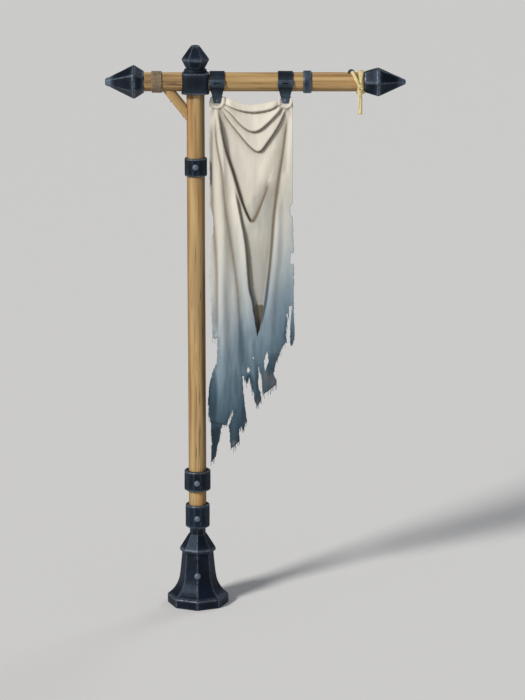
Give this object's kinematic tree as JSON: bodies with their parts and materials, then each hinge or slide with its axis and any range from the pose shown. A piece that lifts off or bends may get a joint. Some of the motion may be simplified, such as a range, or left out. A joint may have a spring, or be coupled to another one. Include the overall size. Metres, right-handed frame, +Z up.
{
  "type": "banner stand",
  "caption": "Free-standing round pole in a faceted iron pedestal, with a braced crossbar through an iron tee collar and a torn cloth banner swinging from strap hangers.",
  "frame": {"origin": "centre of the pedestal's flat underside, on the pole's axis", "axes": "+Z up the pole, +X along the long arm of the crossbar, -Y towards the front"},
  "size_m": [1.295, 0.276, 2.503],
  "materials": {
    "iron": "blackened, worn bright along the edges",
    "wood": "oiled, weathered",
    "cloth": "coarse plain weave, dyed blue towards the torn hem",
    "cord": "twisted straw cord",
    "lashing": "twisted hemp cord"
  },
  "bodies": {
    "stand": {"pedestal": "iron", "pedestal_bolt": "iron", "pedestal_collar": "iron", "pedestal_collar_rivet": "iron", "lower_band": "iron", "lower_band_rivet": "iron", "upper_band": "iron", "upper_band_rivet": "iron", "pole": "wood", "tee_collar": "iron", "finial_tie_rod": "iron", "top_finial": "iron", "crossbar": "wood", "left_finial": "iron", "left_finial_screw": "iron", "right_finial": "iron", "right_finial_screw": "iron", "brace": "wood", "brace_head_nail": "iron", "brace_foot_nail": "iron", "brace_lashing": "lashing", "stop_ring": "iron", "stop_ring_screw": "iron", "tie_cord_wrap": "cord", "tie_cord_tail": "cord", "tie_staple": "iron"},
    "hangers": {"hanger_left_strap": "iron", "hanger_left_rivet": "iron", "hanger_left_front_keeper": "iron", "hanger_left_back_keeper": "iron", "hanger_right_strap": "iron", "hanger_right_rivet": "iron", "hanger_right_front_keeper": "iron", "hanger_right_back_keeper": "iron"},
    "banner": {"banner_cloth": "cloth"}
  },
  "joints": [
    {"name": "hanger_swing", "type": "hinge", "parent": "stand", "child": "hangers", "pos_m": [0.2405, 0, 2.345], "axis": [1, 0, 0], "range_deg": [-35, 35]},
    {"name": "cloth_swing", "type": "hinge", "parent": "hangers", "child": "banner", "pos_m": [0.2405, 0, 2.253], "axis": [1, 0, 0], "range_deg": [-40, 40]}
  ]
}
